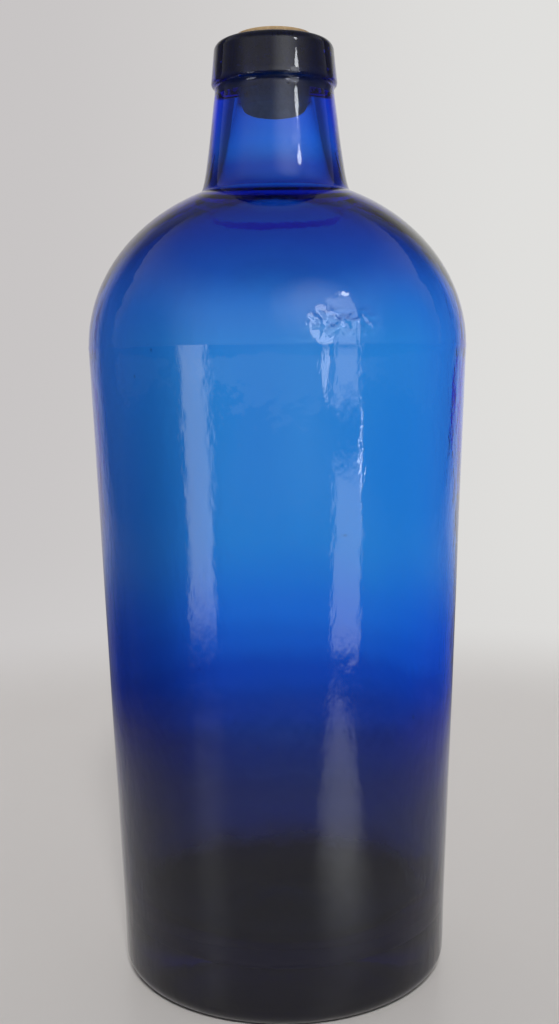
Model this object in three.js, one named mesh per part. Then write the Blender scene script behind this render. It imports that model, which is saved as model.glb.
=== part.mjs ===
// Blown-glass apothecary stock bottle with a laid-on band lip and a tapered cork.
// Millimetres, +Z up. The origin is on the bottle's axis, in the plane that the base rests on.

import * as THREE from 'three';

// Driving dimensions: the body, as its mould left it
const SHOULDER_RADIUS = 63.9; // widest part of the wall, at the mould seam
const BASE_RADIUS = 56.2; // wall at the top of the heel
const BODY_HEIGHT = 215; // resting plane to mould seam
const DOME_RISE = 56; // upright half-axis of the elliptical shoulder
const HEEL_RADIUS = 6; // rounding between the wall and the base
const SEAM_PROUD = 0.15; // ridge where the parts of the mould met
const SEAM_HALF_WIDTH = 0.8;

// Driving dimensions: the glass
const WALL = 2.8; // body and lower shoulder
const CROWN_WALL = 5; // top of the shoulder
const BASE_THICKNESS = 14;
const INNER_HEEL_RADIUS = 24; // rounding between the inner wall and the inner floor
const RESTING_RING_WIDTH = 9; // flat ring that the bottle stands on
const KICK_HEIGHT = 8; // how far the middle of the base is pushed up

// Driving dimensions: the neck
const BORE_RADIUS = 12.9; // at the top of the lip
const BORE_TAPER = 0.03; // radius lost for each millimetre down
const NECK_TOP_WALL = 6.75; // glass around the bore where the neck was sheared
const NECK_SPREAD = 2.9; // how much wider the neck is at its foot
const NECK_LENGTH = 21.8; // straight taper, between the foot and the lip
const NECK_WALL = 5.5; // glass where the inner shoulder has run into the neck
const NECK_FLARE = 3.05; // how far out the fillet meets the shoulder
const NECK_FILLET_RISE = 12.5; // height of the fillet between the shoulder and the neck
const FUNNEL_FLARE = 7; // how far out the inner shoulder starts to run into the neck
const FUNNEL_RISE = 1; // how far above the neck's foot it ends
const THROAT_LENGTH = 2; // how far the bore runs on below the lip

// Driving dimensions: the lip
const LIP_HEIGHT = 14.5;
const LIP_OVERHANG = 1.35; // how far the band stands out of the neck, and its lower rounding
const LIP_DRAFT = 1; // how much narrower the band is at its top
const LIP_EDGE_RADIUS = 3; // rounding of the outer top edge
const MOUTH_EDGE_RADIUS = 1; // rounding of the bore's top edge

// Driving dimensions: the cork
const CORK_LENGTH = 23.4;
const CORK_PROUD = 2.4; // how far it stands above the lip
const CORK_CLEARANCE = 0.15; // radial gap to the bore
const CORK_FOOT_CHAMFER = 1.5; // how far the lower edge is cut in
const CORK_FOOT_CHAMFER_HEIGHT = 4.5;
const CORK_TOP_CHAMFER = 1;

// Facets around the axis and along the round stretches
const SEGMENTS = 48;
const KICK_STEPS = 6;
const HEEL_STEPS = 6;
const DOME_STEPS = 10;
const FILLET_STEPS = 6;
const EDGE_STEPS = 3;

const glass = new THREE.MeshStandardMaterial({
  color: 0x1f5cc4,
  roughness: 0.06,
  metalness: 0,
  transparent: true,
  opacity: 0.7,
});
const corkBark = new THREE.MeshStandardMaterial({ color: 0xb08c64, roughness: 0.9, metalness: 0 });

// Heights and radii that follow from the driving dimensions
const domeEndRadius = BORE_RADIUS + NECK_TOP_WALL + NECK_SPREAD + NECK_FLARE;
const neckFootRadius = domeEndRadius - NECK_FLARE;
const neckTopRadius = neckFootRadius - NECK_SPREAD;
const domeEndHeight = BODY_HEIGHT + ellipseHeight(domeEndRadius, SHOULDER_RADIUS, DOME_RISE);
const neckFootHeight = domeEndHeight + NECK_FILLET_RISE;
const neckTopHeight = neckFootHeight + NECK_LENGTH;
const lipTopHeight = neckTopHeight + LIP_HEIGHT;
const corkTopHeight = lipTopHeight + CORK_PROUD;
const corkFootHeight = corkTopHeight - CORK_LENGTH;

function point(radius, height) {
  return new THREE.Vector2(radius, height);
}

// Height above its centre of an ellipse on the axis, at a given radius
function ellipseHeight(radius, halfWidth, halfHeight) {
  return halfHeight * Math.sqrt(1 - (radius / halfWidth) ** 2);
}

// Angle, in degrees, at which an ellipse on the axis has a given radius
function ellipseAngle(radius, halfWidth) {
  return THREE.MathUtils.radToDeg(Math.acos(radius / halfWidth));
}

// Points along an upright elliptical arc. Angles are in degrees, from outwards towards up.
function arc(centre, halfWidth, halfHeight, fromAngle, toAngle, steps) {
  const points = [];
  for (let step = 0; step <= steps; step += 1) {
    const angle = THREE.MathUtils.degToRad(THREE.MathUtils.lerp(fromAngle, toAngle, step / steps));
    points.push(point(centre.x + halfWidth * Math.cos(angle), centre.y + halfHeight * Math.sin(angle)));
  }
  return points;
}

// Points along a fillet that leaves the start and reaches the end along the given directions
function fillet(start, startDirection, end, endDirection, steps) {
  const across = end.clone().sub(start);
  const reach = across.cross(endDirection) / startDirection.cross(endDirection);
  const corner = start.clone().addScaledVector(startDirection, reach);
  return new THREE.QuadraticBezierCurve(start, corner, end).getPoints(steps);
}

// Points from the axis to the rim of a pushed-up base: a smooth swell, level at both ends
function kick(rimRadius, rimHeight) {
  const points = [];
  for (let step = 0; step <= KICK_STEPS; step += 1) {
    const share = step / KICK_STEPS;
    const swell = (KICK_HEIGHT * (1 + Math.cos(Math.PI * share))) / 2;
    points.push(point(rimRadius * share, rimHeight + swell));
  }
  return points;
}

// Radius of the bore, which narrows on the way down
function boreRadius(height) {
  return BORE_RADIUS - BORE_TAPER * (lipTopHeight - height);
}

// Radius of the outer wall between the heel and the seam
function wallRadius(height) {
  const share = (height - HEEL_RADIUS) / (BODY_HEIGHT - HEEL_RADIUS);
  return THREE.MathUtils.lerp(BASE_RADIUS, SHOULDER_RADIUS, share);
}

// Radius of the outer neck between its foot and the lip
function neckRadius(height) {
  return neckFootRadius - (NECK_SPREAD * (height - neckFootHeight)) / NECK_LENGTH;
}

// Direction of an ellipse on the axis at a given radius, climbing inwards
function ellipseDirection(radius, halfWidth, halfHeight) {
  const angle = Math.acos(radius / halfWidth);
  return point(-halfWidth * Math.sin(angle), halfHeight * Math.cos(angle));
}

// A solid of revolution from an outline of radius and height, standing along +Z
function turned(name, outline, material) {
  const geometry = new THREE.LatheGeometry(outline, SEGMENTS);
  geometry.rotateX(Math.PI / 2);
  const mesh = new THREE.Mesh(geometry, material);
  mesh.name = name;
  return mesh;
}

function bottleOutside() {
  const heelCentre = point(BASE_RADIUS - HEEL_RADIUS, HEEL_RADIUS);
  const kickRadius = heelCentre.x - RESTING_RING_WIDTH;
  const domeCentre = point(0, BODY_HEIGHT);
  const seamAngle = THREE.MathUtils.radToDeg(Math.asin(SEAM_HALF_WIDTH / DOME_RISE));
  const domeEndAngle = ellipseAngle(domeEndRadius, SHOULDER_RADIUS);
  const belowSeam = BODY_HEIGHT - SEAM_HALF_WIDTH;
  const neckFoot = point(neckFootRadius, neckFootHeight);
  const neckTop = point(neckTopRadius, neckTopHeight);
  const domeEnd = point(domeEndRadius, domeEndHeight);
  const domeDirection = ellipseDirection(domeEndRadius, SHOULDER_RADIUS, DOME_RISE);
  const neckDirection = neckTop.clone().sub(neckFoot);
  return [
    ...kick(kickRadius, 0),
    ...arc(heelCentre, HEEL_RADIUS, HEEL_RADIUS, -90, 0, HEEL_STEPS),
    point(wallRadius(belowSeam), belowSeam),
    point(SHOULDER_RADIUS + SEAM_PROUD, BODY_HEIGHT),
    ...arc(domeCentre, SHOULDER_RADIUS, DOME_RISE, seamAngle, domeEndAngle, DOME_STEPS),
    ...fillet(domeEnd, domeDirection, neckFoot, neckDirection, FILLET_STEPS).slice(1),
    neckTop,
  ];
}

function bottleInside() {
  const innerShoulder = SHOULDER_RADIUS - WALL;
  const innerRise = DOME_RISE - CROWN_WALL;
  const innerFootHeight = neckFootHeight + FUNNEL_RISE;
  const innerFootRadius = neckRadius(innerFootHeight) - NECK_WALL;
  const innerEndRadius = innerFootRadius + FUNNEL_FLARE;
  const throatHeight = neckTopHeight - THROAT_LENGTH;
  const throat = point(boreRadius(throatHeight), throatHeight);
  const innerFoot = point(innerFootRadius, innerFootHeight);
  const innerEnd = point(innerEndRadius, BODY_HEIGHT + ellipseHeight(innerEndRadius, innerShoulder, innerRise));
  const domeDirection = ellipseDirection(innerEndRadius, innerShoulder, innerRise);
  const neckDirection = throat.clone().sub(innerFoot);
  const innerEndAngle = ellipseAngle(innerEndRadius, innerShoulder);
  const heelTop = BASE_THICKNESS + INNER_HEEL_RADIUS;
  const floorRadius = wallRadius(heelTop) - WALL - INNER_HEEL_RADIUS;
  const upwards = [
    ...kick(floorRadius, BASE_THICKNESS),
    ...arc(point(floorRadius, heelTop), INNER_HEEL_RADIUS, INNER_HEEL_RADIUS, -90, 0, HEEL_STEPS).slice(1),
    ...arc(point(0, BODY_HEIGHT), innerShoulder, innerRise, 0, innerEndAngle, DOME_STEPS),
    ...fillet(innerEnd, domeDirection, innerFoot, neckDirection, FILLET_STEPS).slice(1),
    throat,
    point(boreRadius(neckTopHeight), neckTopHeight),
  ];
  return upwards.reverse();
}

function lipOutline() {
  const lowCentre = point(neckTopRadius, neckTopHeight + LIP_OVERHANG);
  const topRadius = neckTopRadius + LIP_OVERHANG - LIP_DRAFT;
  const edgeCentre = point(topRadius - LIP_EDGE_RADIUS, lipTopHeight - LIP_EDGE_RADIUS);
  const mouthHeight = lipTopHeight - MOUTH_EDGE_RADIUS;
  const mouthCentre = point(boreRadius(mouthHeight) + MOUTH_EDGE_RADIUS, mouthHeight);
  const boreFoot = point(boreRadius(neckTopHeight), neckTopHeight);
  return [
    boreFoot,
    ...arc(lowCentre, LIP_OVERHANG, LIP_OVERHANG, -90, 0, EDGE_STEPS),
    ...arc(edgeCentre, LIP_EDGE_RADIUS, LIP_EDGE_RADIUS, 0, 90, EDGE_STEPS),
    ...arc(mouthCentre, MOUTH_EDGE_RADIUS, MOUTH_EDGE_RADIUS, 90, 180, EDGE_STEPS),
    boreFoot,
  ];
}

function corkOutline() {
  const corkRadius = (height) => boreRadius(height) - CORK_CLEARANCE;
  const sideFoot = corkFootHeight + CORK_FOOT_CHAMFER_HEIGHT;
  const sideTop = corkTopHeight - CORK_TOP_CHAMFER;
  return [
    point(0, corkFootHeight),
    point(corkRadius(corkFootHeight) - CORK_FOOT_CHAMFER, corkFootHeight),
    point(corkRadius(sideFoot), sideFoot),
    point(corkRadius(sideTop), sideTop),
    point(corkRadius(corkTopHeight) - CORK_TOP_CHAMFER, corkTopHeight),
    point(0, corkTopHeight),
  ];
}

const apothecaryBottle = new THREE.Group();
apothecaryBottle.add(
  turned('bottle_body', [...bottleOutside(), ...bottleInside()], glass),
  turned('lip_ring', lipOutline(), glass),
  turned('cork_stopper', corkOutline(), corkBark),
);

export default apothecaryBottle;
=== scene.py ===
"""Looks for a blown cobalt-glass apothecary bottle and its cork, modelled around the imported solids.

Lengths are in metres, in the frame of the solids: +Z up, the axis of the bottle at X = Y = 0.
"""

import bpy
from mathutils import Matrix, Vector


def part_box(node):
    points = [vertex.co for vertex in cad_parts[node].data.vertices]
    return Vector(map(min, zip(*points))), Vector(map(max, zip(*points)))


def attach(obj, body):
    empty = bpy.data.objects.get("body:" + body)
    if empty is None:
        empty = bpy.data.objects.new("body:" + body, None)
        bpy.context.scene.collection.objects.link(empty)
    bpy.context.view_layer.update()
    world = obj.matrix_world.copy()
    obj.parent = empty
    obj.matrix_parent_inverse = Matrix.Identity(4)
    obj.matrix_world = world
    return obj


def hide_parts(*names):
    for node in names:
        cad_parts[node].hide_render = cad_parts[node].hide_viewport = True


bl_info = {
    "name": "Apothecary Bottle",
    "version": (1, 0, 0),
    "blender": (4, 5, 0),
    "location": "View3D > Sidebar > Bottle",
    "description": "Models a corked apothecary bottle of cobalt glass in a plain studio",
    "category": "Add Mesh",
}

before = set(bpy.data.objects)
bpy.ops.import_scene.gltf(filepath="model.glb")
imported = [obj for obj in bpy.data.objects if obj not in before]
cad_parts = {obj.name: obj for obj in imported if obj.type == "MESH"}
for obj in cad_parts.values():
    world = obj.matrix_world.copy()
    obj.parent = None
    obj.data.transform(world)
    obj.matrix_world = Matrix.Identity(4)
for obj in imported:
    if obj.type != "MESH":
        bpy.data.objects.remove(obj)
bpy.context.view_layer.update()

import math
import random

import bpy
from bpy.props import FloatProperty, FloatVectorProperty, IntProperty, PointerProperty
from mathutils import Euler, Matrix, Quaternion, Vector

LIP_FOOT, LIP_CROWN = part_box("lip_ring")
CORK_FOOT, CORK_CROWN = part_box("cork_stopper")
MM = 0.001

# Light that the outer skin lets through, by height in millimetres: painted shade. It is near black at the
# foot and dark in the lower third for the shadow under and behind the bottle, and darker at the shoulder's
# top and the lip, partly for thicker glass.
GLASS_SHADE_BY_HEIGHT = (
    (0, (0.004, 0.004, 0.006)),
    (22, (0.014, 0.024, 0.09)),
    (50, (0.012, 0.024, 0.08)),
    (62, (0.010, 0.024, 0.105)),
    (76, (0.012, 0.036, 0.22)),
    (90, (0.016, 0.075, 0.42)),
    (102, (0.05, 0.21, 0.74)),
    (114, (0.09, 0.32, 0.94)),
    (145, (0.22, 0.66, 0.99)),
    (214, (0.24, 0.68, 1.0)),
    (232, (0.22, 0.57, 0.93)),
    (252, (0.10, 0.18, 0.50)),
    (272, (0.08, 0.10, 0.40)),
    (281, (1.0, 1.0, 1.0)),
    (300, (0.95, 1.0, 1.0)),
    (304, (0.13, 0.13, 0.30)),
)

# Where the folded patch fades in and out: degrees round from the camera's side, and shares of its rise
FOLD_LEFT = (6, 12)
FOLD_RIGHT = (24, 31)
FOLD_FOOT = (0.0, 0.5)
FOLD_HEAD = (0.5, 1.0)

# Ranges that the seeds are drawn from: share of the body's height, radius in millimetres, and upright stretch
SEED_HEIGHTS = (0.2, 1.0)
SEED_RADII = (0.12, 0.3)
SEED_STRETCH = (1.2, 3.5)
SEED_DEPTH = 0.45

# Ranges that the pores are drawn from: sideways and upright lean, half length and radius in millimetres
PORE_SIDEWAYS = (-0.25, 0.25)
PORE_UPRIGHT = (-0.15, 0.15)
PORE_REACH = (1.5, 6)
PORE_RADII = (0.25, 0.75)

# Windows that gloss shows, upright and at one distance from the axis. Each has its name, azimuth in degrees,
# foot, head and width in metres, brightness, share of the edge that fades, and whether it is oval
WINDOW_DISTANCE = 0.4
WINDOWS = (
    ("high window", 22, 0.20, 0.66, 0.50, 0.95, 0.9, True),
    ("bright sky", 41.4, 0.447, 0.485, 0.055, 9.0, 0.3, True),
    ("right upper pane", 37.5, 0.155, 0.46, 0.115, 1.5, 0.15, False),
    ("right lower pane", 38.5, 0.006, 0.14, 0.14, 1.6, 0.35, False),
    ("right gap", 46.5, 0.09, 0.18, 0.010, 9.0, 0.6, True),
    ("right corner", 25, 0.158, 0.40, 0.055, 3.6, 0.2, True),
    ("left window", -46, 0.008, 0.24, 0.15, 1.9, 0.5, False),
)

# Watts of such a lamp for each square metre, at a brightness of 1
LAMP_WATTS = 4


def length(name, description, default_mm):
    """A length property, given in millimetres and kept in metres."""
    default = default_mm * MM
    return FloatProperty(name=name, description=description, default=default, precision=5, unit="LENGTH")


def colour(name, description, default):
    """A linear colour property."""
    return FloatVectorProperty(
        name=name, description=description, default=default, size=3, min=0.0, max=1.0, subtype="COLOR"
    )


class GlassSettings(bpy.types.PropertyGroup):
    """Sizes and colours of the blown glass."""

    shoulder_radius: length("Shoulder radius", "Outside of the wall at the mould seam", 63.9)
    base_radius: length("Base radius", "Outside of the wall at the top of the heel", 56.2)
    body_height: length("Body height", "Resting plane to mould seam", 215)
    dome_rise: length("Dome rise", "Upright half-axis of the elliptical shoulder", 56)
    heel_radius: length("Heel radius", "Rounding between the wall and the base", 6)
    seam_proud: length("Seam proud", "How far the ring seam stands out of the wall", 0.05)
    seam_half_width: length("Seam half width", "Half the width of the ring seam", 0.8)
    side_seam_proud: length("Side seam proud", "How far the upright shoulder seams stand out", 0.12)
    wall: length("Wall", "Glass in the body and lower shoulder", 2.8)
    crown_wall: length("Crown wall", "Glass at the top of the shoulder", 5)
    base_thickness: length("Base thickness", "Glass under the inner floor", 14)
    inner_heel_radius: length("Inner heel radius", "Rounding of the inner floor's edge", 24)
    resting_ring: length("Resting ring", "Width of the flat that the bottle stands on", 9)
    kick_height: length("Kick height", "How far the middle of the base is pushed up", 8)
    neck_foot_radius: length("Neck foot radius", "Outside of the neck above the fillet", 22.55)
    neck_top_radius: length("Neck top radius", "Outside of the neck under the lip", 19.65)
    neck_length: length("Neck length", "Straight taper between the foot and the lip", 21.8)
    neck_wall: length("Neck wall", "Glass where the inner shoulder has run into the neck", 5.5)
    neck_flare: length("Neck flare", "How far out the fillet meets the shoulder", 3.05)
    funnel_flare: length("Funnel flare", "How far out the inner shoulder runs into the neck", 7)
    funnel_rise: length("Funnel rise", "How far above the neck's foot the inner shoulder ends", 1)
    throat: length("Throat", "How far the bore runs on below the lip", 2)
    bore_radius: length("Bore radius", "Bore at the top of the lip", 12.9)
    bore_taper: FloatProperty(name="Bore taper", description="Radius lost per unit down", default=0.03)
    lip_edge_radius: length("Lip edge radius", "Rounding of the lip's outer top edge", 3)
    mouth_edge_radius: length("Mouth edge radius", "Rounding of the bore's top edge", 1)
    lip_draft: length("Lip draft", "How much narrower the lip is at its top", 1)
    outer_wave: length("Outer wave", "Depth of the slow waves in the outer skin", 0.35)
    outer_wave_size: length("Outer wave size", "Breadth of the slow waves in the outer skin", 45)
    fold_depth: length("Fold depth", "Depth of the folded patch just above the ring seam", 0.8)
    fold_rise: length("Fold rise", "How far up the folded patch reaches", 11.5)
    fold_grain: length("Fold grain", "Breadth of the creases in the folded patch", 3.2)
    inner_wave: length("Inner wave", "Depth of the slow waves in the inner skin", 1.0)
    inner_wave_size: length("Inner wave size", "Breadth of the slow waves in the inner skin", 40)
    relief: length("Relief", "Depth of the fine cords and ripples in the skins", 0.18)
    # Sets how far the edges of the painted shade by height and of the painted shade on the inner floor wander
    # up and down.
    wavy_height: length("Tide", "How far the edges of tone and dregs wander up and down", 9)
    segments: IntProperty(name="Segments", description="Facets around the axis", default=240, min=24)
    tint: colour("Tint", "Light that the glass lets through", (0.0, 0.67, 0.985))
    density: FloatProperty(name="Density", description="Absorption for each metre of glass", default=450.0)
    seeds: IntProperty(name="Seeds", description="Small bubbles in the wall", default=20, min=0)
    # These settings paint shade on the left of both skins, thinner high up: painted shade for the bottle's
    # own shadow behind its left side.
    left_shade: colour("Film", "Light that the film on one side lets through", (0.45, 0.52, 0.60))
    left_shade_edge: length("Film edge", "Where the film starts, from the axis towards the left", 18)
    left_shade_full: length("Film full", "Where the film is full, from the axis towards the left", 52)
    left_shade_head: length("Film head", "Height above which the film is thin", 260)
    left_shade_foot: length("Film foot", "Height below which the film is full", 120)
    # These settings paint the inner floor near black, and make it rougher, low down: painted shade for the
    # shadow under the thick base.
    base_shade_top: length("Dregs top", "Where the dark dregs on the inner floor start", 33)
    base_shade_fade: length("Dregs fade", "Height over which the dregs thin out", 12)
    base_shade: colour("Dregs", "Light that the dregs let through", (0.02, 0.02, 0.022))


class CorkSettings(bpy.types.PropertyGroup):
    """Sizes and colours of the cork."""

    squeeze: length("Squeeze", "How far the cork bears into the bore", 0.05)
    foot_chamfer: length("Foot chamfer", "How far the lower edge is cut in", 1.5)
    foot_chamfer_height: length("Foot chamfer height", "Height of the cut lower edge", 4.5)
    top_chamfer: length("Top chamfer", "Rounding of the upper edge", 1)
    pore_depth: length("Pore depth", "Depth of the widest pores", 0.7)
    pores: IntProperty(name="Pores", description="Pore channels through the cork", default=90, min=0)
    segments: IntProperty(name="Segments", description="Facets around the axis", default=224, min=24)
    bark: colour("Bark", "Body colour of the cork", (0.36, 0.24, 0.12))
    pale_bark: colour("Pale bark", "Paler growth bands", (0.47, 0.34, 0.19))
    pore_colour: colour("Pore colour", "Dust in the pores", (0.07, 0.035, 0.016))


class StudioSettings(bpy.types.PropertyGroup):
    """Camera, backdrop and lamps."""

    camera_distance: length("Camera distance", "Camera to the bottle's axis", 426.6)
    camera_height: length("Camera height", "Camera above the floor", 206.9)
    camera_pitch: FloatProperty(
        name="Camera pitch", description="Downward tilt", default=math.radians(6.464), subtype="ANGLE"
    )
    camera_roll: FloatProperty(
        name="Camera roll", description="Turn about the view", default=math.radians(-0.703), subtype="ANGLE"
    )
    focal_pixels: FloatProperty(name="Focal length", description="In pixels of the frame", default=1239.9)
    floor: colour("Floor", "Paint of the floor and the sweep", (0.62, 0.605, 0.60))
    # The backdrop glows from the left colour to the brighter right one: painted light, as from a window on
    # the right.
    backdrop_left: colour("Backdrop left", "Pale backdrop on the left", (0.575, 0.555, 0.555))
    backdrop_right: colour("Backdrop right", "Pale backdrop on the right", (0.745, 0.74, 0.725))
    surround: colour("Surround", "Pale room around the studio", (0.96, 0.95, 0.94))
    wall_level: FloatProperty(name="Wall level", description="Brightness of the room's walls", default=0.7)
    side_share: FloatProperty(
        name="Side share", description="Share of the wall level that gloss shows at the sides", default=0.2
    )
    ceiling_level: FloatProperty(name="Ceiling level", description="Brightness of the ceiling", default=0.12)
    fill_level: FloatProperty(name="Fill level", description="Room light on matt surfaces", default=0.2)


def point(radius, height):
    """A point of an outline: how far from the axis, and how high."""
    return Vector((radius, height))


def straight(start, end, steps):
    """Points after the start along a straight stretch of an outline."""
    return [start.lerp(end, step / steps) for step in range(1, steps + 1)]


def arc(centre, half_width, half_height, start, end, steps):
    """Points along an upright elliptical arc, with angles in degrees from outwards towards up."""
    points = []
    for step in range(steps + 1):
        angle = math.radians(start + (end - start) * step / steps)
        across = half_width * math.cos(angle)
        up = half_height * math.sin(angle)
        points.append(point(centre.x + across, centre.y + up))
    return points


def fillet(start, start_direction, end, end_direction, steps):
    """Points after the start along a curve that leaves and arrives along the given directions."""
    reach = (end - start).cross(end_direction) / start_direction.cross(end_direction)
    corner = start + start_direction * reach
    points = []
    for step in range(1, steps + 1):
        share = step / steps
        points.append(start.lerp(corner, share).lerp(corner.lerp(end, share), share))
    return points


def kick(rim_radius, rim_height, rise, steps):
    """Points from the axis to the rim of a pushed-up base, level at both ends."""
    points = []
    for step in range(steps + 1):
        share = step / steps
        points.append(point(rim_radius * share, rim_height + rise * (1 + math.cos(math.pi * share)) / 2))
    return points


def smooth_step(low, high, value):
    """0 below low, 1 above high, and an easy curve between."""
    share = min(max((value - low) / (high - low), 0.0), 1.0)
    return share * share * (3 - 2 * share)


class Dome:
    """An elliptical shoulder on the axis, from its widest ring up to the neck."""

    def __init__(self, half_width, half_height, seat_height, end_radius):
        self.half_width = half_width
        self.half_height = half_height
        self.seat_height = seat_height
        self.end_angle = math.acos(end_radius / half_width)

    def end(self):
        """Where the dome meets the fillet of the neck."""
        return point(
            self.half_width * math.cos(self.end_angle),
            self.seat_height + self.half_height * math.sin(self.end_angle),
        )

    def direction(self):
        """Direction of the dome at its end, climbing inwards."""
        inwards = -self.half_width * math.sin(self.end_angle)
        return point(inwards, self.half_height * math.cos(self.end_angle))

    def points(self, start_angle, steps):
        """Points of the dome from an angle in degrees up to its end."""
        centre = point(0, self.seat_height)
        end_angle = math.degrees(self.end_angle)
        return arc(centre, self.half_width, self.half_height, start_angle, end_angle, steps)


def bore_radius(glass, height):
    """Radius of the bore, which narrows on the way down."""
    return glass.bore_radius - glass.bore_taper * (LIP_CROWN.z - height)


def wall_radius(glass, height):
    """Radius of the outer wall between the heel and the seam."""
    share = (height - glass.heel_radius) / (glass.body_height - glass.heel_radius)
    return glass.base_radius + (glass.shoulder_radius - glass.base_radius) * share


def glass_outside(glass):
    """Outline of the outer skin, from the middle of the base up to the lip's foot."""
    heel_centre = point(glass.base_radius - glass.heel_radius, glass.heel_radius)
    below_seam_height = glass.body_height - glass.seam_half_width
    below_seam = point(wall_radius(glass, below_seam_height), below_seam_height)
    ridge = point(glass.shoulder_radius + glass.seam_proud, glass.body_height)
    ridge_half = glass.seam_half_width / 3
    seam_angle = math.degrees(math.asin(glass.seam_half_width / glass.dome_rise))
    dome_end = glass.neck_foot_radius + glass.neck_flare
    dome = Dome(glass.shoulder_radius, glass.dome_rise, glass.body_height, dome_end)
    neck_top = point(glass.neck_top_radius, LIP_FOOT.z)
    neck_foot = point(glass.neck_foot_radius, LIP_FOOT.z - glass.neck_length)
    outline = kick(heel_centre.x - glass.resting_ring, 0, glass.kick_height, steps=18)
    outline += straight(outline[-1], point(heel_centre.x, 0), steps=4)
    outline += arc(heel_centre, glass.heel_radius, glass.heel_radius, -90, 0, steps=12)[1:]
    outline += straight(outline[-1], below_seam, steps=52)
    outline += [ridge + point(0, -ridge_half), ridge + point(0, ridge_half)]
    outline += dome.points(seam_angle, steps=40)
    outline += fillet(dome.end(), dome.direction(), neck_foot, neck_top - neck_foot, steps=12)
    outline += straight(neck_foot, neck_top, steps=10)
    return outline


def lip_outline(glass):
    """Outline of the band lip, from the neck's top over the crown and down the bore to its foot."""
    overhang = LIP_CROWN.x - glass.neck_top_radius
    low_centre = point(glass.neck_top_radius, LIP_FOOT.z + overhang)
    edge_radius = glass.lip_edge_radius
    edge_centre = point(LIP_CROWN.x - glass.lip_draft - edge_radius, LIP_CROWN.z - edge_radius)
    mouth_height = LIP_CROWN.z - glass.mouth_edge_radius
    mouth_radius = glass.mouth_edge_radius
    mouth_centre = point(bore_radius(glass, mouth_height) + mouth_radius, mouth_height)
    edge = arc(edge_centre, edge_radius, edge_radius, 0, 90, steps=12)
    mouth = arc(mouth_centre, mouth_radius, mouth_radius, 90, 180, steps=8)
    outline = arc(low_centre, overhang, overhang, -60, 0, steps=6)
    outline += straight(outline[-1], edge[0], steps=8) + edge[1:]
    outline += straight(edge[-1], mouth[0], steps=3) + mouth[1:]
    outline += straight(mouth[-1], point(bore_radius(glass, LIP_FOOT.z), LIP_FOOT.z), steps=10)
    return outline


def glass_inside(glass):
    """Outline of the inner skin, from the bore's foot down to the middle of the inner floor."""
    neck_spread = glass.neck_foot_radius - glass.neck_top_radius
    foot_height = LIP_FOOT.z - glass.neck_length + glass.funnel_rise
    drawn_in = neck_spread * glass.funnel_rise / glass.neck_length
    foot_radius = glass.neck_foot_radius - drawn_in - glass.neck_wall
    dome = Dome(
        glass.shoulder_radius - glass.wall,
        glass.dome_rise - glass.crown_wall,
        glass.body_height,
        foot_radius + glass.funnel_flare,
    )
    throat_height = LIP_FOOT.z - glass.throat
    throat = point(bore_radius(glass, throat_height), throat_height)
    foot = point(foot_radius, foot_height)
    heel_top = glass.base_thickness + glass.inner_heel_radius
    floor_radius = wall_radius(glass, heel_top) - glass.wall - glass.inner_heel_radius
    upwards = kick(floor_radius, glass.base_thickness, glass.kick_height, steps=18)
    heel_centre = point(floor_radius, heel_top)
    upwards += arc(heel_centre, glass.inner_heel_radius, glass.inner_heel_radius, -90, 0, steps=14)[1:]
    upwards += straight(upwards[-1], point(dome.half_width, glass.body_height), steps=44)
    upwards += dome.points(0, steps=36)[1:]
    upwards += fillet(dome.end(), dome.direction(), foot, throat - foot, steps=12)
    upwards += straight(foot, throat, steps=10)
    return upwards[::-1]


def spin_outline(name, outline, segments, weights=None):
    """Draws an outline of (radius, height) by extruding a point, then spins it about the axis into a skin.

    weights maps the name of a vertex group to its weight at each point of the outline.
    """
    bpy.ops.object.select_all(action="DESELECT")
    bpy.ops.mesh.primitive_plane_add(size=outline[-1].length, location=(0, 0, 0))
    piece = bpy.context.object
    piece.name = name
    piece.data.name = name
    bpy.ops.object.mode_set(mode="EDIT")
    bpy.ops.mesh.select_mode(type="VERT")
    bpy.ops.mesh.select_all(action="SELECT")
    bpy.ops.mesh.merge(type="CENTER")
    place = Vector((0, 0, 0))
    for index, spot in enumerate(outline):
        target = Vector((spot.x, 0, spot.y))
        if index == 0:
            bpy.ops.transform.translate(value=target - place)
        else:
            bpy.ops.mesh.extrude_region_move(TRANSFORM_OT_translate={"value": target - place})
        place = target
    bpy.ops.object.mode_set(mode="OBJECT")
    for group_name, values in (weights or {}).items():
        group = piece.vertex_groups.new(name=group_name)
        for index, weight in enumerate(values):
            group.add([index], weight, "REPLACE")
    bpy.ops.object.mode_set(mode="EDIT")
    bpy.ops.mesh.select_all(action="SELECT")
    bpy.ops.mesh.spin(steps=segments, angle=math.tau, center=(0, 0, 0), axis=(0, 0, 1))
    bpy.ops.mesh.select_all(action="SELECT")
    bpy.ops.mesh.remove_doubles(threshold=0.001 * MM)
    bpy.ops.mesh.normals_make_consistent(inside=False)
    bpy.ops.object.mode_set(mode="OBJECT")
    bpy.ops.object.shade_smooth()
    return piece


def keep_group(piece, name):
    """Keeps one vertex group as an attribute, which a material can read, and drops all the groups."""
    index = piece.vertex_groups[name].index
    weights = []
    for vertex in piece.data.vertices:
        weights.append(sum(member.weight for member in vertex.groups if member.group == index))
    piece.vertex_groups.clear()
    piece.data.attributes.new(name, "FLOAT", "POINT").data.foreach_set("value", weights)


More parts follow.
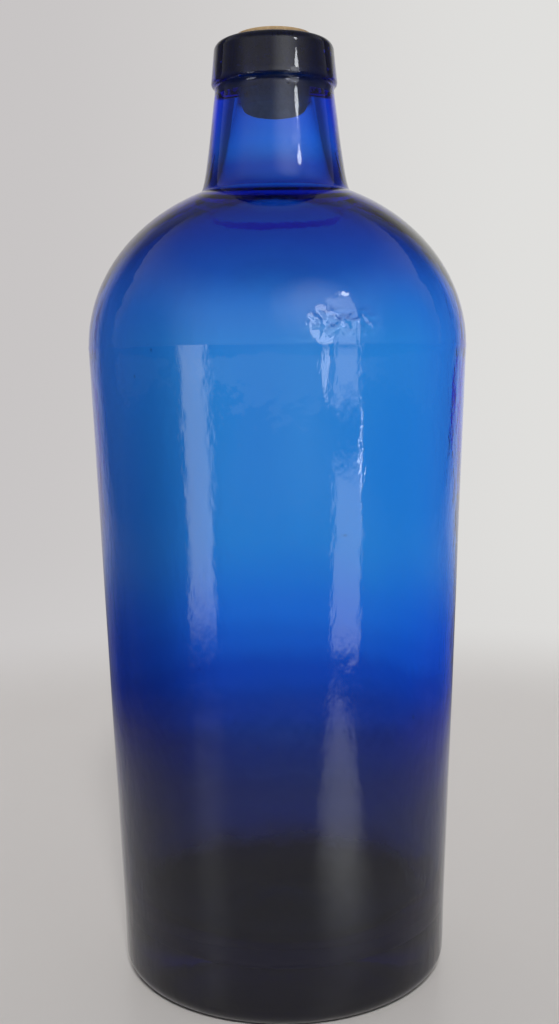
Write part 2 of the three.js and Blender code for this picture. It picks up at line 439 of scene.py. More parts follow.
def slow_waves(piece, group, depth, level, size, stretch):
    """Pushes a vertex group in or out by waves of one size, stretched along the axis, and applies them."""
    texture = bpy.data.textures.new(f"{group} waves", "CLOUDS")
    texture.noise_scale = size
    texture.noise_depth = 1
    guide = bpy.data.objects.new(f"{group} guide", None)
    bpy.context.scene.collection.objects.link(guide)
    guide.scale = (1, 1, stretch)
    bpy.context.view_layer.update()
    waves = piece.modifiers.new(f"{group} waves", "DISPLACE")
    waves.texture = texture
    waves.texture_coords = "OBJECT"
    waves.texture_coords_object = guide
    waves.vertex_group = group
    waves.strength = depth
    waves.mid_level = level
    bpy.ops.object.modifier_apply(modifier=waves.name)
    bpy.data.objects.remove(guide)


def on_dome_skin(spot, glass):
    """Whether a point above the ring seam lies on the outer skin of the shoulder, not on the inner one."""
    share = min(max((spot.z - glass.body_height) / glass.dome_rise, 0.0), 1.0)
    skin = glass.shoulder_radius * math.sqrt(1 - share * share)
    return math.hypot(spot.x, spot.y) > skin - glass.wall / 2


def raise_side_seams(piece, glass):
    """Raises the two upright seams that the halves of the shoulder mould left, at the bottle's sides."""
    bpy.ops.object.mode_set(mode="EDIT")
    bpy.ops.mesh.select_all(action="DESELECT")
    bpy.ops.object.mode_set(mode="OBJECT")
    low = glass.body_height + 2 * glass.seam_half_width
    high = LIP_FOOT.z - glass.neck_length
    off_line = 0.2 * MM
    for vertex in piece.data.vertices:
        on_seam = low < vertex.co.z < high and abs(vertex.co.y) < off_line
        vertex.select = on_seam and on_dome_skin(vertex.co, glass)
    bpy.ops.object.mode_set(mode="EDIT")
    bpy.ops.transform.shrink_fatten(value=glass.side_seam_proud)
    bpy.ops.object.mode_set(mode="OBJECT")


def fold_weight(spot, glass):
    """How much a point belongs to the folded patch, on the right, just above the ring seam."""
    azimuth = math.degrees(math.atan2(spot.x, -spot.y))
    across = smooth_step(*FOLD_LEFT, azimuth) * (1 - smooth_step(*FOLD_RIGHT, azimuth))
    rise = (spot.z - glass.body_height) / glass.fold_rise
    upright = smooth_step(*FOLD_FOOT, rise) * (1 - smooth_step(*FOLD_HEAD, rise))
    return across * upright if on_dome_skin(spot, glass) else 0.0


def fold_patch(piece, glass):
    """Crumples the small patch where the glass folded against the mould."""
    bpy.ops.object.mode_set(mode="EDIT")
    bpy.ops.mesh.select_all(action="DESELECT")
    bpy.ops.mesh.select_mode(type="FACE")
    bpy.ops.object.mode_set(mode="OBJECT")
    for face in piece.data.polygons:
        face.select = fold_weight(face.center, glass) > 0
    bpy.ops.object.mode_set(mode="EDIT")
    bpy.ops.mesh.subdivide(number_cuts=3)
    bpy.ops.object.mode_set(mode="OBJECT")
    group = piece.vertex_groups.new(name="fold")
    for vertex in piece.data.vertices:
        weight = fold_weight(vertex.co, glass)
        if weight > 0:
            group.add([vertex.index], weight, "REPLACE")
    slow_waves(piece, "fold", glass.fold_depth, level=1.0, size=glass.fold_grain, stretch=0.7)


def add_seeds(piece, glass):
    """Adds seeds, the small drawn-out bubbles in the wall, as hollows whose faces point into them."""
    draw = random.Random(7)
    bpy.ops.object.mode_set(mode="EDIT")
    for _ in range(glass.seeds):
        turn = draw.uniform(0, math.tau)
        height = draw.uniform(*SEED_HEIGHTS) * glass.body_height
        size = draw.uniform(*SEED_RADII) * MM
        radius = wall_radius(glass, height) - SEED_DEPTH * glass.wall
        place = Vector((radius * math.cos(turn), radius * math.sin(turn), height))
        bpy.ops.mesh.primitive_ico_sphere_add(subdivisions=2, radius=size, location=place)
        bpy.ops.transform.resize(value=(1, 1, draw.uniform(*SEED_STRETCH)), center_override=place)
        bpy.ops.mesh.faces_shade_smooth()
        bpy.ops.mesh.flip_normals()
    bpy.ops.object.mode_set(mode="OBJECT")


class NodeMaker:
    """Adds nodes to a tree and links them, from left to right."""

    def __init__(self, tree):
        self.tree = tree
        self.column = 0

    def add(self, kind, settings=None, **inputs):
        """A node. settings sets its properties. An input is a value, or a socket to link from."""
        node = self.tree.nodes.new(kind)
        node.location = (self.column * 180, 0)
        self.column += 1
        for name, value in (settings or {}).items():
            setattr(node, name, value)
        for name, value in inputs.items():
            self.feed(node.inputs[name.replace("_", " ")], value)
        return node

    def feed(self, socket, value):
        """Links a socket to an input, or sets the input's own value."""
        if isinstance(value, bpy.types.NodeSocket):
            self.tree.links.new(value, socket)
        else:
            socket.default_value = value

    def math(self, operation, first, second=0.0, clamp=False):
        """The result of a Math node."""
        node = self.add("ShaderNodeMath", {"operation": operation, "use_clamp": clamp})
        self.feed(node.inputs[0], first)
        self.feed(node.inputs[1], second)
        return node.outputs[0]

    def remap(self, value, from_low, from_high, to_low, to_high, curve="LINEAR"):
        """A value carried from one range to another, and held inside it."""
        limits = {"From_Min": from_low, "From_Max": from_high, "To_Min": to_low, "To_Max": to_high}
        node = self.add("ShaderNodeMapRange", {"interpolation_type": curve}, Value=value, **limits)
        return node.outputs["Result"]

    def ease(self, value, start, end, low=0.0, high=1.0):
        """A result that goes from low to high by an easy curve, while the value goes from start to end."""
        return self.remap(value, start, end, low, high, curve="SMOOTHSTEP")

    def mix(self, share, first, second, blend="MIX"):
        """A colour between two others, or the first one blended with the second."""
        node = self.add("ShaderNodeMix", {"data_type": "RGBA", "blend_type": blend})
        self.feed(node.inputs["Factor"], share)
        self.feed(node.inputs["A"], first)
        self.feed(node.inputs["B"], second)
        return node.outputs["Result"]

    def ramp(self, share, stops):
        """A colour that changes along a share from 0 to 1, by stops of (share, colour)."""
        node = self.add("ShaderNodeValToRGB", Fac=share)
        node.color_ramp.interpolation = "EASE"
        elements = node.color_ramp.elements
        for element, (position, tone) in zip(elements, (stops[0], stops[-1])):
            element.position = position
            element.color = tone
        for position, tone in stops[1:-1]:
            elements.new(position).color = tone
        return node.outputs["Color"]

    def group(self, tree, **inputs):
        """A node of a node group, with its inputs."""
        return self.add("ShaderNodeGroup", {"node_tree": tree}, **inputs)


def new_material(name):
    """A fresh node material and the maker of its nodes. Returns the material, the maker and the shader."""
    material = bpy.data.materials.new(name)
    material.use_nodes = True
    shader = material.node_tree.nodes["Principled BSDF"]
    return material, NodeMaker(material.node_tree), shader


def node_group(name, inputs, outputs):
    """A new shader node group with float outputs: its tree, its maker, and its entry and end nodes."""
    tree = bpy.data.node_groups.new(name, "ShaderNodeTree")
    for socket_name, kind in inputs.items():
        tree.interface.new_socket(name=socket_name, in_out="INPUT", socket_type=kind)
    for socket_name in outputs:
        tree.interface.new_socket(name=socket_name, in_out="OUTPUT", socket_type="NodeSocketFloat")
    maker = NodeMaker(tree)
    return tree, maker, maker.add("NodeGroupInput"), maker.add("NodeGroupOutput")


def streaks_group():
    """Node group: long soft streaks along one direction, as in drawn glass and in cork's growth bands."""
    if "Streaks" in bpy.data.node_groups:
        return bpy.data.node_groups["Streaks"]
    inputs = {"Vector": "NodeSocketVector", "Stretch": "NodeSocketVector", "Scale": "NodeSocketFloat"}
    tree, maker, entry, end = node_group("Streaks", inputs, ["Streaks"])
    drawn = maker.add("ShaderNodeVectorMath", {"operation": "MULTIPLY"})
    maker.feed(drawn.inputs[0], entry.outputs["Vector"])
    maker.feed(drawn.inputs[1], entry.outputs["Stretch"])
    scale = entry.outputs["Scale"]
    noise = maker.add("ShaderNodeTexNoise", Vector=drawn.outputs[0], Scale=scale, Detail=3.0)
    maker.feed(end.inputs["Streaks"], noise.outputs["Fac"])
    return tree


def specks_group():
    """Node group: scattered specks with soft edges, as of dust. Amount sets how far each one reaches."""
    if "Specks" in bpy.data.node_groups:
        return bpy.data.node_groups["Specks"]
    inputs = {"Vector": "NodeSocketVector", "Scale": "NodeSocketFloat", "Amount": "NodeSocketFloat"}
    tree, maker, entry, end = node_group("Specks", inputs, ["Specks"])
    place, scale = entry.outputs["Vector"], entry.outputs["Scale"]
    cells = maker.add("ShaderNodeTexVoronoi", Vector=place, Scale=scale)
    patches = maker.add("ShaderNodeTexNoise", Vector=place, Scale=scale)
    reach = maker.math("MULTIPLY", entry.outputs["Amount"], patches.outputs["Fac"])
    inside = maker.math("SUBTRACT", reach, cells.outputs["Distance"])
    sharpness = 6.0
    maker.feed(end.inputs["Specks"], maker.math("MULTIPLY", inside, sharpness, clamp=True))
    return tree


def painted_glass_shade(maker, glass, axes, inside, wander):
    """Colour of the glass's skins, which is painted shade, and the share of painted shade on the inner floor.

    The outer skin has shade painted by height, both skins have it on the left, and the inner floor is near
    black.
    """
    height = axes.outputs["Z"]
    shift = maker.math("MULTIPLY", maker.math("SUBTRACT", wander, 0.5), glass.wavy_height)
    wavy_height = maker.math("ADD", height, shift)
    # Painted shade by height on the outer skin: near black at the foot, dark in the lower third, darker at
    # the shoulder's top and the lip.
    stops = [(level * MM / LIP_CROWN.z, (*tone, 1)) for level, tone in GLASS_SHADE_BY_HEIGHT]
    outer_shade = maker.ramp(maker.math("DIVIDE", wavy_height, LIP_CROWN.z), stops)
    skin = maker.mix(inside, outer_shade, (1, 1, 1, 1))
    # Painted shade on the left of both skins, for the bottle's own shadow that is seen through that side.
    thin_left_shade = 0.3
    on_the_left = maker.ease(axes.outputs["X"], -glass.left_shade_edge, -glass.left_shade_full)
    lower_down = maker.remap(height, glass.left_shade_head, glass.left_shade_foot, thin_left_shade, 1.0)
    left_shaded = maker.math("MULTIPLY", on_the_left, lower_down)
    left_shaded_skin = maker.mix(left_shaded, skin, (*glass.left_shade, 1), "MULTIPLY")
    # Painted shade: below a wavering height the inner floor is painted near black.
    under_base_shade_top = maker.ease(wavy_height, glass.base_shade_top, glass.base_shade_top - glass.base_shade_fade)
    base_shade = maker.math("MULTIPLY", under_base_shade_top, inside)
    return maker.mix(base_shade, left_shaded_skin, (*glass.base_shade, 1)), base_shade


def glass_normal(maker, glass, place, height, inside):
    """Normal of the glass's skins: long cords and finer ripples, which grow calm above the ring seam."""
    streaks = streaks_group()
    cords = maker.group(streaks, Vector=place, Stretch=(1, 1, 0.25), Scale=60.0).outputs["Streaks"]
    ripple = maker.group(streaks, Vector=place, Stretch=(1, 1, 0.5), Scale=240.0).outputs["Streaks"]
    outer_ripple, inner_ripple, calm_share = 0.7, 0.3, 0.25
    ripple_share = maker.remap(inside, 0.0, 1.0, outer_ripple, inner_ripple)
    relief = maker.math("ADD", cords, maker.math("MULTIPLY", ripple, ripple_share))
    calm_foot = glass.body_height + 5 * MM
    calm_head = glass.body_height + 30 * MM
    strength = maker.ease(height, calm_foot, calm_head, low=1.0, high=calm_share)
    bump = maker.add("ShaderNodeBump", Strength=strength, Distance=glass.relief, Height=relief)
    return bump.outputs["Normal"]


def cobalt_glass(glass):
    """Clear cobalt glass: tinted through its depth, with cords, ripples, a dusty, handled skin, and painted
    shade.
    """
    material, maker, shader = new_material("cobalt glass")
    place = maker.add("ShaderNodeTexCoord").outputs["Object"]
    axes = maker.add("ShaderNodeSeparateXYZ", Vector=place)
    inside = maker.add("ShaderNodeAttribute", {"attribute_name": "inside"}).outputs["Fac"]
    dust = maker.group(specks_group(), Vector=place, Scale=900.0, Amount=0.25).outputs["Specks"]
    hands = maker.add("ShaderNodeTexNoise", Vector=place, Scale=35.0, Detail=4.0).outputs["Fac"]
    # The skins' colour is painted shade, and the second result marks where the inner floor is painted near
    # black as shade.
    colour_of_skin, base_shade = painted_glass_shade(maker, glass, axes, inside, hands)
    maker.feed(shader.inputs["Base Color"], colour_of_skin)
    clean, smeared, dusty, base_shade_roughness = 0.015, 0.06, 0.12, 0.35
    touched = (0.45, 0.75)
    smears = maker.remap(hands, *touched, clean, smeared)
    handled = maker.math("ADD", smears, maker.math("MULTIPLY", dust, dusty))
    roughness = maker.math("ADD", handled, maker.math("MULTIPLY", base_shade, base_shade_roughness))
    maker.feed(shader.inputs["Roughness"], roughness)
    maker.feed(shader.inputs["Normal"], glass_normal(maker, glass, place, axes.outputs["Z"], inside))
    shader.inputs["Transmission Weight"].default_value = 1.0
    shader.inputs["IOR"].default_value = 1.52
    depth = maker.add("ShaderNodeVolumeAbsorption", Color=(*glass.tint, 1), Density=glass.density)
    output = material.node_tree.nodes["Material Output"]
    maker.feed(output.inputs["Volume"], depth.outputs["Volume"])
    return material


def natural_cork(cork):
    """Natural cork: pale growth bands, dark flecks and dusty pores."""
    material, maker, shader = new_material("natural cork")
    place = maker.add("ShaderNodeTexCoord").outputs["Object"]
    across_grain = (1, 0.2, 0.3)
    bands = maker.group(streaks_group(), Vector=place, Stretch=across_grain, Scale=420.0).outputs["Streaks"]
    grain = maker.group(specks_group(), Vector=place, Scale=1500.0, Amount=0.55).outputs["Specks"]
    pores = maker.add("ShaderNodeAttribute", {"attribute_name": "pore"}).outputs["Fac"]
    band_edges, pore_edges = (0.35, 0.65), (0.05, 0.6)
    bark = maker.mix(maker.remap(bands, *band_edges, 0.0, 1.0), (*cork.bark, 1), (*cork.pale_bark, 1))
    fleck_share, darkest_pore = 0.45, 0.92
    flecked = maker.mix(maker.math("MULTIPLY", grain, fleck_share), bark, (*cork.pore_colour, 1))
    darkness = maker.ease(pores, *pore_edges, high=darkest_pore)
    maker.feed(shader.inputs["Base Color"], maker.mix(darkness, flecked, (*cork.pore_colour, 1)))
    smooth_bark, rough_fleck, fleck_depth = 0.78, 0.95, 0.6
    maker.feed(shader.inputs["Roughness"], maker.remap(grain, 0.0, 1.0, smooth_bark, rough_fleck))
    height = maker.math("SUBTRACT", bands, maker.math("MULTIPLY", grain, fleck_depth))
    bump = maker.add("ShaderNodeBump", Strength=0.6, Distance=0.2 * MM, Height=height)
    maker.feed(shader.inputs["Normal"], bump.outputs["Normal"])
    return material


def outer_weight(glass, height):
    """Share of the slow waves in the outer skin: none on the heel and at the lip."""
    above_heel = smooth_step(glass.heel_radius, 4 * glass.heel_radius, height)
    below_lip = 1 - smooth_step(LIP_FOOT.z - glass.neck_length, LIP_FOOT.z, height)
    return above_heel * below_lip


def inner_weight(glass, height):
    """Share of the slow waves in the inner skin: none on the upper shoulder and in the neck."""
    return 1 - smooth_step(glass.body_height, glass.body_height + glass.dome_rise / 2, height)


class BOTTLE_OT_glass(bpy.types.Operator):
    """Blow the glass: the body, shoulder, neck and fused lip as one skin with an inside and an outside"""

    bl_idname = "bottle.glass"
    bl_label = "Blown glass"

    def execute(self, context):
        glass = context.scene.bottle_glass
        outside = glass_outside(glass)
        lip = lip_outline(glass)
        inside = glass_inside(glass)

        rim = glass.bore_radius + glass.mouth_edge_radius
        outer = [outer_weight(glass, spot.y) for spot in outside] + [0.0] * (len(lip) + len(inside))
        inner = [0.0] * (len(outside) + len(lip)) + [inner_weight(glass, spot.y) for spot in inside]
        bore = [1.0 if spot.x < rim else 0.0 for spot in lip]
        within = [0.0] * len(outside) + bore + [1.0] * len(inside)
        skin = outside + lip + inside
        groups = {"outer": outer, "inner": inner, "inside": within}
        piece = spin_outline("bottle_glass", skin, glass.segments, groups)
        raise_side_seams(piece, glass)
        slow_waves(piece, "outer", glass.outer_wave, level=1.0, size=glass.outer_wave_size, stretch=1.6)
        slow_waves(piece, "inner", glass.inner_wave, level=0.5, size=glass.inner_wave_size, stretch=2.2)
        fold_patch(piece, glass)
        add_seeds(piece, glass)
        keep_group(piece, "inside")
        piece.data.materials.append(cobalt_glass(glass))
        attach(piece, "bottle")
        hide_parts("bottle_body", "lip_ring")
        return {"FINISHED"}


def cork_outline(cork, glass):
    """Outline of the cork from the middle of its foot to the middle of its crown."""
    def side(height):
        return bore_radius(glass, height) + cork.squeeze

    foot_rim = point(side(CORK_FOOT.z) - cork.foot_chamfer, CORK_FOOT.z)
    side_foot_height = CORK_FOOT.z + cork.foot_chamfer_height
    side_foot = point(side(side_foot_height), side_foot_height)
    side_top_height = CORK_CROWN.z - cork.top_chamfer
    side_top = point(side(side_top_height), side_top_height)
    crown_rim = point(side_top.x - cork.top_chamfer, CORK_CROWN.z)
    chamfer_slope, side_slope = point(0.55, 0.83), point(0.02, 1)
    outline = [point(0, CORK_FOOT.z)]
    outline += straight(outline[-1], foot_rim, steps=26)
    outline += fillet(foot_rim, chamfer_slope, side_foot, side_slope, steps=14)
    outline += straight(side_foot, side_top, steps=48)
    outline += fillet(side_top, point(0, 1), crown_rim, point(-1, 0), steps=6)
    outline += straight(crown_rim, point(0, CORK_CROWN.z), steps=28)
    return outline


def pore_channels(cork):
    """Pore channels: short, nearly level tubes through the bark, as (middle, half reach, radius)."""
    draw = random.Random(41)
    channels = []
    for _ in range(cork.pores):
        middle = Vector((
            draw.uniform(-1, 1) * CORK_CROWN.x,
            draw.uniform(-1, 1) * CORK_CROWN.x,
            draw.uniform(CORK_FOOT.z, CORK_CROWN.z),
        ))
        lean = Vector((1, draw.uniform(*PORE_SIDEWAYS), draw.uniform(*PORE_UPRIGHT))).normalized()
        reach = lean * draw.uniform(*PORE_REACH) * MM
        channels.append((middle, reach, draw.uniform(*PORE_RADII) * MM))
    return channels


def pore_share(spot, channels):
    """How deep inside a pore a point lies: 0 on clean bark, 1 on a channel's own line."""
    share = 0.0
    for middle, reach, radius in channels:
        along = max(-1.0, min(1.0, (spot - middle).dot(reach) / reach.length_squared))
        distance = (spot - middle - reach * along).length
        narrowing = 1.1 - abs(along)
        share = max(share, 1 - distance / (radius * narrowing))
    return share


class BOTTLE_OT_cork(bpy.types.Operator):
    """Cut the cork: a tapered plug with a chamfered foot and open pores"""

    bl_idname = "bottle.cork"
    bl_label = "Cork"

    def execute(self, context):
        cork = context.scene.bottle_cork
        piece = spin_outline("cork", cork_outline(cork, context.scene.bottle_glass), cork.segments)
        channels = pore_channels(cork)
        shares = [pore_share(vertex.co, channels) for vertex in piece.data.vertices]
        piece.data.attributes.new("pore", "FLOAT", "POINT").data.foreach_set("value", shares)
        group = piece.vertex_groups.new(name="pores")
        for index, share in enumerate(shares):
            if share > 0:
                group.add([index], share, "REPLACE")
        pits = piece.modifiers.new("pores", "DISPLACE")
        pits.vertex_group = "pores"
        pits.strength = -cork.pore_depth
        pits.mid_level = 0.0
        bpy.ops.object.modifier_apply(modifier=pits.name)
        piece.vertex_groups.clear()
        piece.data.materials.append(natural_cork(cork))
        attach(piece, "cork")
        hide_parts("cork_stopper")
        return {"FINISHED"}


def soft_lamp(name, centre, across, along, size, brightness, softness, oval):
    """A flat lamp that two directions span, and that gloss alone shows. Its light fades towards the edge.

    The size is in metres along the two directions. The softness is the share over which the light fades.
    """
    bpy.ops.object.light_add(type="AREA", location=centre)
    lamp = bpy.context.object
    lamp.name = name
    lamp.rotation_euler = Matrix((across, along, across.cross(along))).transposed().to_euler()
    lamp.data.shape = "ELLIPSE" if oval else "RECTANGLE"
    lamp.data.size, lamp.data.size_y = size
    area = size[0] * size[1] * (math.pi / 4 if oval else 1)
    lamp.data.energy = LAMP_WATTS * brightness * area
    lamp.data.color = (0.94, 0.97, 1.0)
    lamp.data.use_nodes = True
    maker = NodeMaker(lamp.data.node_tree)
    offset = maker.add("ShaderNodeVectorMath", {"operation": "SUBTRACT"})
    maker.feed(offset.inputs[0], maker.add("ShaderNodeNewGeometry").outputs["Position"])
    maker.feed(offset.inputs[1], centre)
    shares = []
    for direction, extent in zip((across, along), size):
        share = maker.add("ShaderNodeVectorMath", {"operation": "DOT_PRODUCT"})
        maker.feed(share.inputs[0], offset.outputs["Vector"])
        maker.feed(share.inputs[1], direction * 2 / extent)
        shares.append(maker.math("ABSOLUTE", share.outputs["Value"]))
    if oval:
        squares = [maker.math("MULTIPLY", share, share) for share in shares]
        rim = maker.math("SQRT", maker.math("ADD", *squares))
    else:
        rim = maker.math("MAXIMUM", *shares)
    fade = maker.ease(rim, 1.0, 1.0 - softness)
    maker.feed(lamp.data.node_tree.nodes["Emission"].inputs["Strength"], fade)
    lamp.visible_camera = False
    lamp.visible_diffuse = False
    lamp.visible_transmission = False


def window(name, azimuth, foot, head, width, brightness, softness, oval):
    """An upright lamp that faces the axis. The azimuth is in degrees from the camera's side towards +X."""
    turn = math.radians(azimuth)
    middle = (foot + head) / 2
    centre = Vector((WINDOW_DISTANCE * math.sin(turn), -WINDOW_DISTANCE * math.cos(turn), middle))
    across = Vector((math.cos(turn), math.sin(turn), 0))
    soft_lamp(name, centre, across, Vector((0, 0, 1)), (width, head - foot), brightness, softness, oval)


def lit_strip(name, azimuth, near, far, width, brightness, softness):
    """Window light that lies on the floor, as a lamp that faces up between two distances from the axis."""
    turn = math.radians(azimuth)
    along = Vector((math.sin(turn), -math.cos(turn), 0))
    across = Vector((math.cos(turn), math.sin(turn), 0))
    centre = along * (near + far) / 2 + Vector((0, 0, MM))
    soft_lamp(name, centre, across, along, (width, far - near), brightness, softness, True)


def key_lamp(azimuth, elevation, softness, strength):
    """A soft far lamp, high in front, which throws the shadow behind the bottle. Gloss doesn't show it."""
    turn = math.radians(azimuth)
    lift = math.radians(elevation)
    level = math.cos(lift)
    towards = Vector((math.sin(turn) * level, -math.cos(turn) * level, math.sin(lift)))
    bpy.ops.object.light_add(type="SUN", location=towards)
    lamp = bpy.context.object
    lamp.name = "key lamp"
    lamp.rotation_euler = towards.to_track_quat("Z", "Y").to_euler()
    lamp.data.angle = math.radians(softness)
    lamp.data.energy = strength
    lamp.data.color = (1.0, 0.98, 0.96)
    lamp.visible_glossy = False
    lamp.visible_transmission = False


def light_path(maker):
    """Shares of 0 or 1: rays that show the room to the camera directly, through glass, and by gloss.

    Rays that only gather light for a matt surface count as none of these.
    """
    path = maker.add("ShaderNodeLightPath")
    spread = path.outputs["Diffuse Depth"]
    kinds = ("Is Camera Ray", "Is Transmission Ray", "Is Glossy Ray")
    return [maker.math("SUBTRACT", path.outputs[kind], spread, clamp=True) for kind in kinds]


def studio_paint(studio):
    """Matt pale paint near the bottle, which glows as a backdrop farther out, with painted light and shade in
    it.

    The ranges are in metres from the bottle's foot, and each change comes in from the first to the second.
    """
    gloss_loses_paint, camera_sees_glow, gloss_sees_glow = (0.17, 0.42), (0.34, 0.6), (0.48, 1.25)
    left_to_right, front_to_back, high_up = (-0.4, 0.4), (-0.4, 0.4), (0.7, 1.4)
    towards_sides, wider_from, extra_width = (0.38, 1.1), (0.5, 1.2), 0.45
    mottle_share, gloss_paint_share, front_share, side_share, high_share = 0.96, 0.05, 0.5, 0.1, 0.3
    material, maker, shader = new_material("studio paint")
    place = maker.add("ShaderNodeTexCoord").outputs["Object"]
    axes = maker.add("ShaderNodeSeparateXYZ", Vector=place)
    across, away = axes.outputs["X"], axes.outputs["Y"]
    length_node = maker.add("ShaderNodeVectorMath", {"operation": "LENGTH"})
    maker.feed(length_node.inputs[0], place)
    reach = length_node.outputs["Value"]
    to_camera, through, gloss = light_path(maker)

    mottle = maker.add("ShaderNodeTexNoise", Vector=place, Scale=6.0).outputs["Fac"]
    mottled = tuple(mottle_share * channel for channel in studio.floor)
    shaded = tuple(gloss_paint_share * channel for channel in studio.floor)
    paint = maker.mix(mottle, (*studio.floor, 1), (*mottled, 1))
    # Painted shade: seen by gloss, the paint farther out is darkened to a twentieth, so the floor reflects
    # dark in the glass.
    in_gloss = maker.math("MULTIPLY", gloss, maker.ease(reach, *gloss_loses_paint))
    maker.feed(shader.inputs["Base Color"], maker.mix(in_gloss, paint, (*shaded, 1)))
    shader.inputs["Roughness"].default_value = 0.35

    far_direct = maker.math("MULTIPLY", to_camera, maker.ease(reach, *camera_sees_glow))
    far_gloss = maker.math("MULTIPLY", gloss, maker.ease(reach, *gloss_sees_glow))
    # Painted shade: seen by gloss, the glow is fainter in front and to the sides, so the glass reflects a
    # darker room there.
    behind = maker.ease(away, *front_to_back, low=front_share)
    spread = maker.remap(away, *wider_from, 0.0, extra_width)
    off_axis = maker.math("SUBTRACT", maker.math("ABSOLUTE", across), spread)
    aside = maker.ease(off_axis, *towards_sides, low=1.0, high=side_share)
    far_gloss = maker.math("MULTIPLY", far_gloss, maker.math("MULTIPLY", behind, aside))
    shown = maker.math("ADD", maker.math("ADD", far_direct, through), far_gloss, clamp=True)

    glow = maker.add("ShaderNodeEmission")
    # Painted light: the glow grows brighter from left to right, as from a window on the right, and dimmer
    # high up, as the room's light fades.
    side = maker.ease(across, *left_to_right)
    backdrop = maker.mix(side, (*studio.backdrop_left, 1), (*studio.backdrop_right, 1))
    maker.feed(glow.inputs["Color"], backdrop)
    maker.feed(glow.inputs["Strength"], maker.ease(axes.outputs["Z"], *high_up, low=1.0, high=high_share))
    blend = maker.add("ShaderNodeMixShader")
    maker.feed(blend.inputs[0], shown)
    maker.feed(blend.inputs[1], shader.outputs["BSDF"])
    maker.feed(blend.inputs[2], glow.outputs["Emission"])
    maker.feed(material.node_tree.nodes["Material Output"].inputs["Surface"], blend.outputs["Shader"])
    return material


def sweep(studio):
    """A pale floor that sweeps up into a backdrop behind the bottle."""
    half_width, front, back, rise, bend = 3.0, -2.0, 1.3, 2.0, 0.45
    below_base = 0.2 * MM
    bpy.ops.object.select_all(action="DESELECT")
    bpy.ops.mesh.primitive_plane_add(size=1, location=(0, 0, 0))
    floor = bpy.context.object
    floor.name = "studio_sweep"
    bpy.ops.object.mode_set(mode="EDIT")
    bpy.ops.transform.resize(value=(2 * half_width, back - front, 1), center_override=(0, 0, 0))
    bpy.ops.transform.translate(value=(0, (back + front) / 2, -below_base))
    bpy.ops.mesh.select_all(action="DESELECT")
    bpy.ops.object.mode_set(mode="OBJECT")
    for edge in floor.data.edges:
        edge.select = all(floor.data.vertices[index].co.y > back - MM for index in edge.vertices)
    bpy.ops.object.mode_set(mode="EDIT")
    bpy.ops.mesh.select_mode(type="EDGE")
    bpy.ops.mesh.extrude_region_move(TRANSFORM_OT_translate={"value": (0, 0, rise)})
    bpy.ops.mesh.select_all(action="DESELECT")
    bpy.ops.object.mode_set(mode="OBJECT")
    for edge in floor.data.edges:
        corners = [floor.data.vertices[index].co for index in edge.vertices]
        edge.select = all(corner.y > back - MM and corner.z < MM for corner in corners)
    bpy.ops.object.mode_set(mode="EDIT")
    bpy.ops.mesh.bevel(offset=bend, segments=24)
    bpy.ops.object.mode_set(mode="OBJECT")
    bpy.ops.object.shade_smooth()
    floor.data.materials.append(studio_paint(studio))


def surround(studio):
    """A pale room all round: a low fill for matt surfaces, and pale walls under a dim ceiling to be seen."""
    world = bpy.data.worlds.new("studio room")
    bpy.context.scene.world = world
    world.use_nodes = True
    maker = NodeMaker(world.node_tree)
    background = world.node_tree.nodes["Background"]
    background.inputs["Color"].default_value = (*studio.surround, 1)
    towards = maker.add("ShaderNodeTexCoord").outputs["Generated"]
    axes = maker.add("ShaderNodeSeparateXYZ", Vector=towards)
    wall_to_ceiling, towards_sides = (0.25, 0.95), (0.7, 1.0)
    room = maker.ease(axes.outputs["Z"], *wall_to_ceiling, studio.wall_level, studio.ceiling_level)
    aside = maker.math("ABSOLUTE", axes.outputs["X"])
    sides = maker.ease(aside, *towards_sides, low=1.0, high=studio.side_share)
    to_camera, through, gloss = light_path(maker)
    glint = maker.math("MULTIPLY", gloss, sides)
    seen = maker.math("ADD", maker.math("ADD", to_camera, through), glint, clamp=True)
    shown = maker.math("MULTIPLY", room, seen)
    maker.feed(background.inputs["Strength"], maker.math("MAXIMUM", shown, studio.fill_level))


def camera(studio):
    """A camera at the photograph's place and angle."""
    frame_height = 1024
    data = bpy.data.cameras.new("view")
    data.lens = data.sensor_width * studio.focal_pixels / frame_height
    data.clip_start = 0.01
    view = bpy.data.objects.new("view", data)
    bpy.context.scene.collection.objects.link(view)
    view.location = (0, -studio.camera_distance, studio.camera_height)
    tilt = Euler((math.pi / 2 - studio.camera_pitch, 0, 0)).to_quaternion()
    view.rotation_mode = "QUATERNION"
    view.rotation_quaternion = tilt @ Quaternion((0, 0, 1), studio.camera_roll)
    bpy.context.scene.camera = view


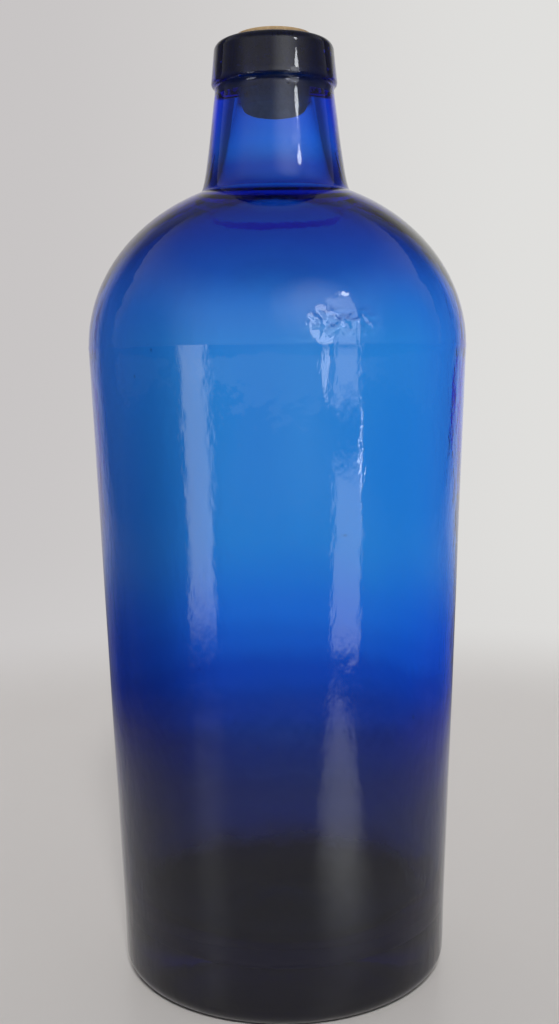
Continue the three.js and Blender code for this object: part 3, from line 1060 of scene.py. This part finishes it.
class BOTTLE_OT_studio(bpy.types.Operator):
    """Set up the studio: a pale sweep and room, windows for the gloss, a key lamp and the camera"""

    bl_idname = "bottle.studio"
    bl_label = "Studio"

    def execute(self, context):
        studio = context.scene.bottle_studio
        sweep(studio)
        surround(studio)
        camera(studio)
        for pane in WINDOWS:
            window(*pane)
        lit_strip("lit strip", azimuth=33, near=0.07, far=0.43, width=0.13, brightness=0.75, softness=0.6)
        key_lamp(azimuth=3, elevation=43, softness=14, strength=2.66)
        context.scene.cycles.max_bounces = 32
        context.scene.cycles.glossy_bounces = 16
        context.scene.cycles.transmission_bounces = 32
        context.scene.view_settings.view_transform = "Standard"
        return {"FINISHED"}


class BOTTLE_PT_panel(bpy.types.Panel):
    """Sizes, colours and buttons for the bottle"""

    bl_idname = "BOTTLE_PT_panel"
    bl_label = "Apothecary Bottle"
    bl_space_type = "VIEW_3D"
    bl_region_type = "UI"
    bl_category = "Bottle"

    def draw(self, context):
        for operator, settings in (
            (BOTTLE_OT_glass, context.scene.bottle_glass),
            (BOTTLE_OT_cork, context.scene.bottle_cork),
            (BOTTLE_OT_studio, context.scene.bottle_studio),
        ):
            column = self.layout.column(align=True)
            for name in settings.__annotations__:
                column.prop(settings, name)
            column.operator(operator.bl_idname)


CLASSES = (
    GlassSettings,
    CorkSettings,
    StudioSettings,
    BOTTLE_OT_glass,
    BOTTLE_OT_cork,
    BOTTLE_OT_studio,
    BOTTLE_PT_panel,
)


def register():
    for cls in CLASSES:
        bpy.utils.register_class(cls)
    bpy.types.Scene.bottle_glass = PointerProperty(type=GlassSettings)
    bpy.types.Scene.bottle_cork = PointerProperty(type=CorkSettings)
    bpy.types.Scene.bottle_studio = PointerProperty(type=StudioSettings)


def unregister():
    del bpy.types.Scene.bottle_studio
    del bpy.types.Scene.bottle_cork
    del bpy.types.Scene.bottle_glass
    for cls in reversed(CLASSES):
        bpy.utils.unregister_class(cls)


def main():
    register()
    bpy.ops.bottle.glass()
    bpy.ops.bottle.cork()
    bpy.ops.bottle.studio()


if __name__ == "__main__":
    main()
